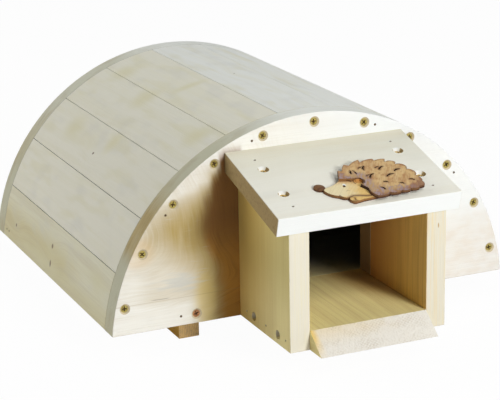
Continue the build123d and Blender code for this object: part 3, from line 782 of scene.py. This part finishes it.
def porch_wall_wood(tones, side, seed):
    """One porch wall: its grain upright, golden at the back, its front edge planed paler.

    The right wall has stronger grain, and on its inner side painted shade makes it browner, and redder
    towards its back. Painted shade darkens the left wall towards its top.
    """
    wood = Wood(f"porch_wall_wood_{side}", Z, Y, seed, waviness=4.0)
    left = side == "left"
    fibres, rings, marks, greyed, knots = WALL_LOOKS[side]
    # painted shade on the right wall's inner side
    inner = 0.0 if left else wood.fall(wood.faces(X), -0.4, 0.4)
    base = wood.blend(tones.wall, tones.wall_inner_shade, inner)
    wood.grained(base, tones.wall_dark, 0.16, fibres, 12.0)
    wood.ringed(tones.wall_dark, rings, 4.5, -150, 60)
    # golden wood at the walls' back; on the right wall's inner side, redder painted shade
    rear = wood.rise(wood.y + (wood.z - BASE_Z - 60) * 0.25, FRONT_Y - 95, FRONT_Y)
    wood.paint(wood.blend(tones.wall_rear, tones.wall_inner_deep_shade, inner), rear * 0.9)
    if left:
        # painted shade over the left wall's upper half
        upper_shade = wood.rise(wood.z - BASE_Z, 16, 84)
        wood.paint(tones.wall_upper_shade, upper_shade, "MULTIPLY")
    front = wood.rise(wood.faces(-Y), 0.5, 0.9)
    edge = wood.blend(tones.wall_edge, base, wood.patches(90, 1.6, -0.2, 0.8, 3.0) * marks)
    edge = wood.blend(edge, tones.end, greyed)
    wood.paint(edge, front)
    wood.knotted(tones.wall_dark, knots)
    # painted shade inside the low screw holes
    hole_shade = wood.fall(abs(wood.faces(X)), 0.75, 0.95) * (1 - wood.greatest(front, wood.end))
    low = wood.fall(wood.z, BASE_Z + 14, BASE_Z + 16)
    wood.paint(tones.knot, hole_shade * low * 0.55)
    return wood


def lid_wood(tones):
    """The lid: grey-white, greyer towards its upper edge with a tan streak there, and browner ends."""
    wood = Wood("lid_wood", X, DOWN_LID, 50, [LID_SWIRL])
    down = from_lid_top(wood, DOWN_LID)
    wood.grained(tones.lid, tones.lid_tan, 0.12, 0.08, 16.0)
    wood.paint(tones.grey, wood.patches(60, 26, 0.1, 0.8) * 0.18)
    haze = wood.fall(down + wood.clouds(60, 20, 20) * 14, 0, 95)
    wood.paint(tones.lid_shade, haze * 0.75)
    streak = wood.fall(down + wood.clouds(60, 20, 20) * 14, 0, 32)
    wood.paint(tones.lid_tan, streak * (0.4 + 0.3 * wood.patches(120, 3, -0.3, 0.5)))
    wood.paint(tones.panel_white, wood.rise(wood.faces(DOWN_LID), 0.5, 0.9) * 0.8)
    end = wood.blend(tones.end, tones.knot, wood.patches(40, 2.5, -0.1, 0.8) * 0.25)
    wood.paint(end, wood.end)
    return wood


class FinishPorch(bpy.types.Operator):
    """Finish the porch's walls and lid"""

    bl_idname = "hedgehog_house.porch"
    bl_label = "Porch"

    def execute(self, context):
        tones = context.scene.house_wood
        for seed, side in enumerate(("left", "right"), 40):
            dress(f"porch_{side}_wall", porch_wall_wood(tones, side, seed).matt())
        dress("porch_lid", lid_wood(tones).matt())
        return {"FINISHED"}


# Figure

# The figure's lines are drawn at the height of the light layer's top. For each millimetre above it they
# shift by this much, so that they run on over the dark layer.
LIGHT_TOP = 3
SHIFT_ASIDE = 0.77
SHIFT_DOWN = -1.63


def on_lid(x, down):
    """A place on the lid's top, by its distance down the slope."""
    return LID_TOP + X * x + DOWN_LID * down


def thin_board(name, seed, lean):
    """The wood of one of the figure's layers, its grain leaning by some degrees."""
    turn = radians(lean)
    along = X * cos(turn) - DOWN_LID * sin(turn)
    across = X * sin(turn) + DOWN_LID * cos(turn)
    wood = Wood(name, along, across, seed, waviness=1.0)
    wood.side = wood.x
    wood.down = from_lid_top(wood, DOWN_LID)
    wood.up = from_lid_top(wood, OUT_OF_LID)
    wood.cut = wood.fall(wood.faces(OUT_OF_LID), 0.4, 0.8)
    wood.drawn_side = wood.side + (wood.up - LIGHT_TOP) * SHIFT_ASIDE
    wood.drawn_down = wood.down + (wood.up - LIGHT_TOP) * SHIFT_DOWN
    return wood


def oval(wood, side, down, middle, reach):
    """How far a place lies from an oval's middle, where 1 is its rim."""
    return wood.distance((side - middle[0]) / reach[0], (down - middle[1]) / reach[1])


def stroke(wood, start, end, width):
    """A burnt line between two places, given as their distances across and down the lid."""
    run = Vector(end) - Vector(start)
    away_x = wood.drawn_side - start[0]
    away_down = wood.drawn_down - start[1]
    part = wood.limited((away_x * run.x + away_down * run.y) / run.length_squared)
    return wood.fall(wood.distance(away_x - part * run.x, away_down - part * run.y), width * 0.3, width)


def drawn(wood, places, width):
    """A burnt line through several places."""
    return wood.greatest(*(stroke(wood, start, end, width) for start, end in zip(places, places[1:])))


# What is drawn and painted on the figure, in millimetres across from the lid's middle and down the lid
EAR = ((-0.4, 87.4), (-1.3, 84.4), (-0.2, 81.0), (3.1, 79.0), (7.0, 79.6), (9.1, 82.2), (8.7, 85.6))
# EAR_SHADE is a painted shadow line along the ear's right side, where the coat's edge shades it
EAR_SHADE = ((8.0, 80.8), (9.2, 83.0), (8.0, 86.4))
TUFT = ((-5.6, 79.6), (-4.0, 80.8), (-3.4, 82.6))
INNER_EAR = ((1.4, 85.6), (0.9, 82.8), (2.6, 80.8))
ARM = ((-16.3, 107.2), (-11.9, 105.8), (-6.3, 106.7), (-0.8, 108.5), (8.7, 110.3))
PAW = ((-12.4, 109.6), (-13.3, 112.7), (-11.9, 114.4))
TOES = ((-15.8, 112.7), (-13.8, 114.9))
MOUTH = ((-24.1, 102.0), (-22.2, 106.2))
CHEEK = ((-14.7, 97.2), (-13.0, 95.6), (-11.5, 97.2))
EYE, EYE_REACH = (-12.7, 89.3), (2.0, 2.9, 8)
# Painted highlight: the eye's glint, a white spot beside the pupil
EYE_GLINT, EYE_GLINT_REACH = (-11.9, 87.4), (2.6, 3.4, 8)
EAR_MIDDLE, EAR_REACH = (3.9, 83.4), (5.2, 4.6)
COAT_MIDDLE, COAT_REACH = (24, 84), (40, 31)


def ear_painted(wood, tones):
    """The ear, which lies over the edge between the two layers."""
    fill = wood.fall(oval(wood, wood.drawn_side, wood.drawn_down, EAR_MIDDLE, EAR_REACH), 0.75, 1.0)
    wood.paint(tones.figure_ear, fill * 0.9)
    lines = wood.greatest(
        drawn(wood, EAR, 0.9) * 0.8,
        drawn(wood, EAR_SHADE, 1.9),
        drawn(wood, INNER_EAR, 0.8) * 0.5,
        drawn(wood, TUFT, 1.6) * 0.8,
    )
    wood.paint(tones.burn, lines * 0.85)


def figure_body_wood(tones):
    """The light layer: pale in the face, golden in the cheek and arm, with the eye and burnt lines."""
    wood = thin_board("figure_light_wood", 60, 50)
    fibre = wood.clouds(30, 0.8, 3, 3.0)
    patch = wood.clouds(14, 7, 5)
    cheek = wood.rise(wood.side * 0.8 + wood.down * 0.25 + patch * 5, 10, 26)
    arm = wood.rise(wood.down - wood.side * 0.12 + patch * 2, 107, 110)
    wood.colour = wood.blend(tones.figure_light, tones.figure_gold, wood.greatest(cheek, arm) * 0.85)
    brow = wood.fall(wood.down + patch * 3 - wood.side * 0.2, 79, 92)
    wood.paint(tones.figure_ear, brow * 0.75)
    wood.paint(tones.scorch, wood.rise(fibre, 0.0, 0.7) * 0.16)
    wood.paint(tones.scorch, drawn(wood, ARM, 3.4) * 0.55)
    wood.paint(tones.scorch, drawn(wood, PAW, 2.4) * 0.5)
    lines = wood.greatest(
        drawn(wood, ARM, 1.1),
        drawn(wood, PAW, 0.9),
        drawn(wood, TOES, 0.8),
        drawn(wood, MOUTH, 0.9),
        drawn(wood, CHEEK, 0.6) * 0.4,
    )
    wood.paint(tones.burn, lines * 0.75)
    wood.paint(tones.scorch, wood.rise(wood.bevelled(0.0012), 0.02, 0.25) * 0.7)
    # painted highlight: the eye's white glint
    white = wood.spot(on_lid(*EYE_GLINT), EYE_GLINT_REACH)
    pupil = wood.spot(on_lid(*EYE), EYE_REACH)
    wood.paint(tones.glint, wood.rise(white, 0.1, 0.35))
    wood.paint(tones.eye, wood.rise(pupil, 0.1, 0.35))
    wood.height = fibre * -0.4 - lines * 2
    browned = wood.rise(wood.up + patch * 0.8, 0.2, 1.6) * (0.62 + 0.3 * wood.rise(wood.side, -20, -12))
    charred = wood.blend(tones.burn, tones.scorch, browned)
    wood.paint(charred, wood.cut)
    ear_painted(wood, tones)
    return wood


def figure_coat_wood(tones):
    """The dark layer: tan, rust-brown and umber towards its rim, with a painted lavender sheen and charred
    slits.
    """
    wood = thin_board("figure_dark_wood", 61, 58)
    fibre = wood.clouds(16, 0.9, 3, 3.0)
    patch = wood.clouds(16, 8, 5)
    blotch = wood.clouds(5, 2.8, 4, 3.0)
    wood.colour = wood.blend(tones.figure_dark, tones.figure_rust, wood.rise(patch, -0.2, 0.5) * 0.4)
    wood.paint(tones.figure_light, wood.rise(fibre, 0.0, 0.7) * 0.3)
    wood.paint(tones.figure_rust, wood.rise(blotch, 0.0, 0.6) * 0.35)

    far = oval(wood, wood.side, wood.down, COAT_MIDDLE, COAT_REACH) + patch * 0.12
    rim = wood.rise(wood.bevelled(0.0034), 0.0, 0.05)
    wood.paint(tones.figure_rust, wood.greatest(wood.rise(far, 0.76, 1.0), rim) * 0.43)
    below = wood.rise(wood.side * 0.6 + wood.down, 92, 112)
    tail = wood.greatest(below, wood.rise(wood.side, 42, 56))
    umber = wood.rise(far + blotch * 0.15, 0.84, 1.04) * (0.3 + 0.36 * tail)
    wood.paint(tones.figure_umber, wood.greatest(umber, rim * 0.35))
    # painted sheen: lavender highlights in patches beside the face and along the belly, over a darker umber
    front = wood.fall(wood.side + blotch * 3, 10, 18) * wood.rise(wood.down + blotch * 3, 70, 79)
    belly = wood.rise(wood.down - wood.side * 0.12 + blotch * 4, 97, 104) * wood.fall(wood.side, 30, 60)
    sheen = wood.greatest(front, belly) * wood.rise(blotch + patch * 0.5 + fibre * 0.5, -0.3, 0.5)
    wood.paint(tones.figure_umber, wood.greatest(front, belly) * 0.4)
    wood.paint(tones.figure_sheen, sheen * 0.75)
    thin = wood.rise(wood.bevelled(0.0013), 0.02, 0.2) * wood.rise(blotch, -0.5, 0.2, 0.4, 0.9)
    wood.paint(tones.burn, thin)

    slit = wood.fall(far, 0.8, 0.9)
    wood.paint(tones.burn, wood.rise(wood.bevelled(0.002), 0.01, 0.09) * slit * 0.95)
    wood.height = fibre * -0.8 + patch * 0.3 + blotch * -0.4
    browned = wood.rise(wood.up + patch * 1.2, 3.6, 5.4) * 0.45
    charred = wood.blend(tones.burn, tones.scorch, browned)
    charred = wood.blend(charred, tones.eye, slit * 0.7)
    over_face = wood.fall(wood.side, 3, 7) * wood.fall(wood.down, 86, 90) * wood.rise(wood.down, 77, 79)
    charred = wood.blend(charred, tones.scorch, over_face * 0.75)
    wood.paint(charred, wood.cut)
    ear_painted(wood, tones)
    return wood


def nose_wood(tones):
    """The nose: stained, darker down its side."""
    wood = thin_board("nose_wood", 62, 20)
    wood.grained(tones.nose, tones.burn, 0.5, 0.5, 4.0, 0.9)
    wood.paint(tones.burn, wood.fall(wood.up, 1.2, 2.2) * 0.7)
    return wood


class FinishFigure(bpy.types.Operator):
    """Finish the wooden hedgehog on the lid"""

    bl_idname = "hedgehog_house.figure"
    bl_label = "Figure"

    def execute(self, context):
        tones = context.scene.house_trim
        dress("figure_body", figure_body_wood(tones).matt(0.0001))
        dress("figure_coat", figure_coat_wood(tones).matt(0.0001))
        nose = nose_wood(tones)
        dress("figure_nose", nose.complete(0.6, nose.height, 0.0001, {"Specular IOR Level": 0.2}))
        return {"FINISHED"}


# Screws and brads

# Each kind of screw: where its heads face, its plating, and how metallic it shines
SCREWS = {
    "front_arch_screws": (-Y, "brass", 0.85),
    "back_arch_screws": (Y, "brass", 0.85),
    "front_floor_screws": (-Y, "copper", 0.85),
    "back_floor_screws": (Y, "copper", 0.85),
    "porch_fixing_screws": (Y, "brass", 0.85),
    # painted shade: dark brown for the shade deep in the holes
    "porch_wall_screws": (X, "brown", 0.2),
    "lid_screws": (OUT_OF_LID, "gold", 0.7),
    "runner_screws": (-Z, "brass", 0.85),
}
BRADS = ("front_brads", "back_brads", "slat_foot_brads", "porch_wall_brads", "lid_brads")


def worn(metal, grain):
    """Soft noise with grains of this many millimetres."""
    return metal.noise(metal.vector(metal.x / grain, metal.y / grain, metal.z / grain), 3.0)


def screw_metal(tones, node, outward, plating, shine):
    """Yellow plating, worn in patches, with painted shade on the faces that don't face out, such as the rims,
    and down in the recess.
    """
    metal = Finish(f"{node}_metal")
    outermost = max(abs(vertex.co.dot(outward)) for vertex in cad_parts[node].data.vertices) / MM
    sunk = outermost - abs(metal.travel(outward))
    wear = worn(metal, 1.1)
    top = metal.rise(abs(metal.faces(outward)), 0.5, 0.9)
    # painted shade: faces that don't face out stay mostly dark, and the colour darkens down the recess; the
    # patches are wear
    metal.colour = metal.blend(tones.burn, plating, metal.rise(wear, -0.9, 0.0) * (0.15 + 0.85 * top))
    metal.paint(tones.burn, metal.rise(sunk, 0.1, 0.9) * 0.9)
    roughness = 0.42 + 0.12 * metal.rise(wear, -0.3, 0.6)
    return metal.complete(roughness, wear, 0.00005, {"Metallic": shine})


def brad_metal(tones):
    """Dull steel with a trace of rust."""
    metal = Finish("brad_steel")
    wear = worn(metal, 0.8)
    metal.colour = metal.blend(tones.brad, tones.burn, metal.rise(wear, 0.0, 0.5) * 0.4)
    return metal.complete(0.5, wear, 0.00003, {"Metallic": 0.6})


class FinishFasteners(bpy.types.Operator):
    """Finish the screws and the brads"""

    bl_idname = "hedgehog_house.fasteners"
    bl_label = "Screws and brads"

    def execute(self, context):
        tones = context.scene.house_trim
        for node, (outward, plating, shine) in SCREWS.items():
            dress(node, screw_metal(tones, node, outward, getattr(tones, plating), shine))
        steel = brad_metal(tones)
        for node in BRADS:
            dress(node, steel)
        return {"FINISHED"}


# Studio


def heading_vector(heading, height):
    """The direction towards something seen to the right of the porch and above the ground."""
    return Vector((sin(heading) * cos(height), -cos(heading) * cos(height), sin(height)))


def look(place, back, roll=0.0):
    """The matrix of a lamp or a camera at a place, with back as the direction behind it."""
    forward = -back
    right = forward.cross(Z).normalized()
    up = right.cross(forward)
    turned_right = right * cos(roll) - up * sin(roll)
    turned_up = right * sin(roll) + up * cos(roll)
    matrix = Matrix((turned_right, turned_up, back)).transposed().to_4x4()
    matrix.translation = place
    return matrix


# What the camera and the lamps aim at
CAMERA_TARGET = Vector((-21.9, -15.3, 100.9)) * MM
LAMP_TARGET = Vector((0, -60, 80)) * MM
LAMP_DISTANCE = 2.4
# Each lamp: its direction, the settings of its width and its level, and its colour
LAMPS = {
    "key_lamp": (heading_vector(radians(14), radians(17.5)), "key_size", "key_level", (0.99, 1.0, 1.0)),
    "upper_lamp": (heading_vector(radians(14), radians(42)), "upper_size", "upper_level", (1.0, 1.0, 0.99)),
    "fill_lamp": (Vector((-0.757, 0.4545, 0.47)), "fill_size", "fill_level", (1.0, 0.985, 0.96)),
    "top_lamp": (Vector((0.5, 0.15, 0.85)), "fill_size", "top_level", (0.92, 0.96, 1.0)),
}
# Colours of the floor: as it lights the object, and as it is seen under the shadow
FLOOR_PLAIN = (0.9, 0.89, 0.87, 1)
FLOOR_SEEN = (0.97, 0.97, 0.97, 1)
WHITE = (1, 1, 1, 1)


def lamp(name, direction, size, level, colour):
    """A square soft lamp. Its level is how bright it makes a white card that faces it."""
    data = bpy.data.lights.new(name, "AREA")
    data.shape = "SQUARE"
    data.size = size
    data.energy = level * (pi * LAMP_DISTANCE) ** 2
    data.color = colour
    made = bpy.data.objects.new(name, data)
    made.matrix_world = look(LAMP_TARGET + direction * LAMP_DISTANCE, direction)
    bpy.context.scene.collection.objects.link(made)


class SetStage(bpy.types.Operator):
    """Set up the floor, the lamps, the surroundings and the camera"""

    bl_idname = "hedgehog_house.stage"
    bl_label = "Stage"

    def execute(self, context):
        settings = context.scene.house_studio
        self.lay_floor(settings)
        self.light_surroundings(context.scene, settings)
        for name, (direction, size, level, colour) in LAMPS.items():
            lamp(name, direction.normalized(), getattr(settings, size), getattr(settings, level), colour)
        self.place_camera(context.scene, settings)
        context.scene.view_settings.view_transform = "Standard"
        return {"FINISHED"}

    def lay_floor(self, settings):
        """A pale floor, white to the camera, that keeps a soft shadow."""
        mesh = bpy.data.meshes.new("studio_floor")
        shape = bmesh.new()
        bmesh.ops.create_grid(shape, x_segments=1, y_segments=1, size=settings.floor_size / 2)
        shape.to_mesh(mesh)
        shape.free()
        floor = bpy.data.objects.new("studio_floor", mesh)
        bpy.context.scene.collection.objects.link(floor)
        finish = Finish("studio_floor")
        plain = finish.node("ShaderNodeBsdfDiffuse", {}, {"Color": FLOOR_PLAIN})
        pale = finish.node("ShaderNodeBsdfDiffuse", {}, {"Color": FLOOR_SEEN})
        white = finish.node("ShaderNodeEmission", {}, {"Color": WHITE, "Strength": 1.0})
        shown = finish.node("ShaderNodeMixShader", {}, {0: 0.97, 1: pale, 2: white})
        surface = finish.node("ShaderNodeMixShader", {}, {0: finish.seen_straight(), 1: plain, 2: shown})
        finish.node("ShaderNodeOutputMaterial", {}, {"Surface": surface})
        mesh.materials.append(finish.material)

    def light_surroundings(self, scene, settings):
        """Weak light from all round, and a white background."""
        world = bpy.data.worlds.new("studio")
        world.use_nodes = True
        scene.world = world
        nodes = Nodes(world.node_tree)
        soft = nodes.node("ShaderNodeBackground", {}, {"Color": WHITE, "Strength": settings.sky_level})
        white = nodes.node("ShaderNodeBackground", {}, {"Color": WHITE, "Strength": 1.0})
        shown = nodes.node("ShaderNodeMixShader", {}, {0: nodes.seen_straight(), 1: soft, 2: white})
        nodes.node("ShaderNodeOutputWorld", {}, {"Surface": shown})

    def place_camera(self, scene, settings):
        """The photograph's view."""
        data = bpy.data.cameras.new("camera")
        data.lens = settings.camera_lens
        camera = bpy.data.objects.new("camera", data)
        back = heading_vector(settings.camera_heading, settings.camera_height)
        place = CAMERA_TARGET + back * settings.camera_distance
        camera.matrix_world = look(place, back, settings.camera_roll)
        scene.collection.objects.link(camera)
        scene.camera = camera


OPERATORS = (
    FinishPanels,
    FinishRoof,
    FinishFloors,
    FinishPorch,
    FinishFigure,
    FinishFasteners,
    SetStage,
)
SETTINGS = {
    "house_wood": HouseWoodSettings,
    "house_trim": HouseTrimSettings,
    "house_studio": HouseStudioSettings,
}


class HousePanel(bpy.types.Panel):
    """Lists what finishes the house, and its settings"""

    bl_idname = "VIEW3D_PT_hedgehog_house"
    bl_label = "Hedgehog house"
    bl_space_type = "VIEW_3D"
    bl_region_type = "UI"
    bl_category = "Hedgehog house"

    def draw(self, context):
        for operator in OPERATORS:
            self.layout.operator(operator.bl_idname)
        for group in SETTINGS:
            settings = getattr(context.scene, group)
            for name in settings.bl_rna.properties.keys():
                if name not in ("rna_type", "name"):
                    self.layout.prop(settings, name)


CLASSES = (*SETTINGS.values(), *OPERATORS, HousePanel)


def register():
    """Makes the settings, the operators and the panel known to Blender."""
    for part in CLASSES:
        bpy.utils.register_class(part)
    for name, group in SETTINGS.items():
        setattr(bpy.types.Scene, name, PointerProperty(type=group))


def unregister():
    """Takes them away again."""
    for name in SETTINGS:
        delattr(bpy.types.Scene, name)
    for part in reversed(CLASSES):
        bpy.utils.unregister_class(part)


def main():
    """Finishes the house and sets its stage."""
    register()
    for operator in OPERATORS:
        group, name = operator.bl_idname.split(".")
        getattr(getattr(bpy.ops, group), name)()


if __name__ == "__main__":
    main()
